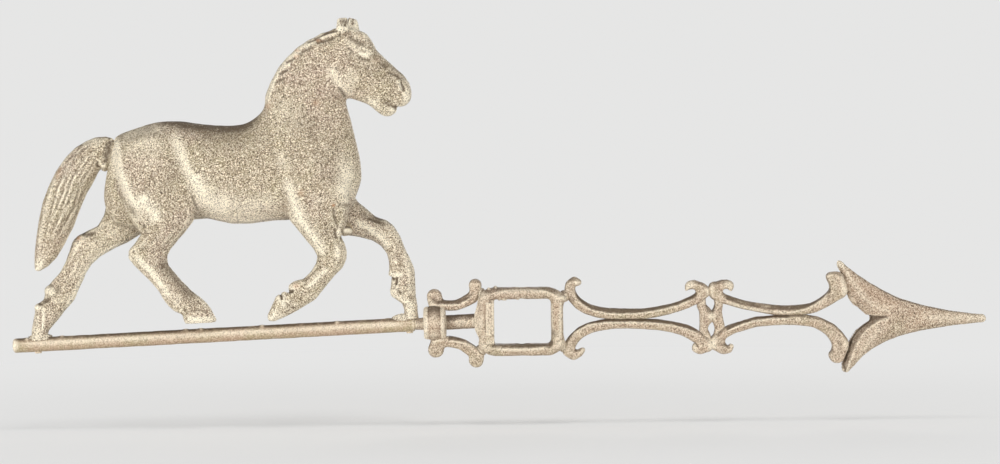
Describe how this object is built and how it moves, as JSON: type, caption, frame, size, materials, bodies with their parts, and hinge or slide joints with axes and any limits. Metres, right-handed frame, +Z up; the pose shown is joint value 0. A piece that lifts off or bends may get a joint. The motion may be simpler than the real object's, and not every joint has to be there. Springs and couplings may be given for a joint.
{
  "type": "horse weathervane",
  "caption": "Lightning-rod weathervane: a trotting horse of two cast shells on a round tail bar, pinned to a scrolled arrow whose open yoke turns on a rod",
  "frame": {"origin": "the middle of the rod bore, halfway between the yoke's top and bottom", "axes": "+X to the arrow's tip, +Z up the rod, -Y the near side that the picture shows"},
  "size_m": [0.5833, 0.041, 0.217],
  "materials": {
    "horse_casting": "weathered sand-tan coat over a pebbled casting, dark in the pores and rubbed light on the ridges",
    "arrow_casting": "the same tan coat, a little pinker, with rubbed ridges and brown dirt in the hollows",
    "bar": "drawn bar with a yellower worn coat and fine lengthwise wear",
    "rivet": "peened ends under the same coat",
    "solder": "dull whitish solder and braze, slightly lumpy"
  },
  "bodies": {
    "root": {"horse_near_half": "horse_casting", "horse_far_half": "horse_casting", "tail": "horse_casting", "tail_solder": "solder", "foreleg_solder": "solder", "hind_hoof_solder": "solder", "fore_hoof_solder": "solder", "hind_hoof_rivet": "rivet", "fore_hoof_rivet": "rivet", "tail_bar": "bar", "arrow_tang": "arrow_casting", "collar": "arrow_casting", "tang_sleeve": "arrow_casting", "yoke": "arrow_casting", "rear_scroll_upper": "arrow_casting", "rear_scroll_lower": "arrow_casting", "front_scroll_upper": "arrow_casting", "front_scroll_lower": "arrow_casting", "rear_link": "arrow_casting", "front_link": "arrow_casting", "head_scroll_upper": "arrow_casting", "head_scroll_lower": "arrow_casting", "arrow_head": "arrow_casting", "corner_brazes": "solder"}
  },
  "joints": []
}
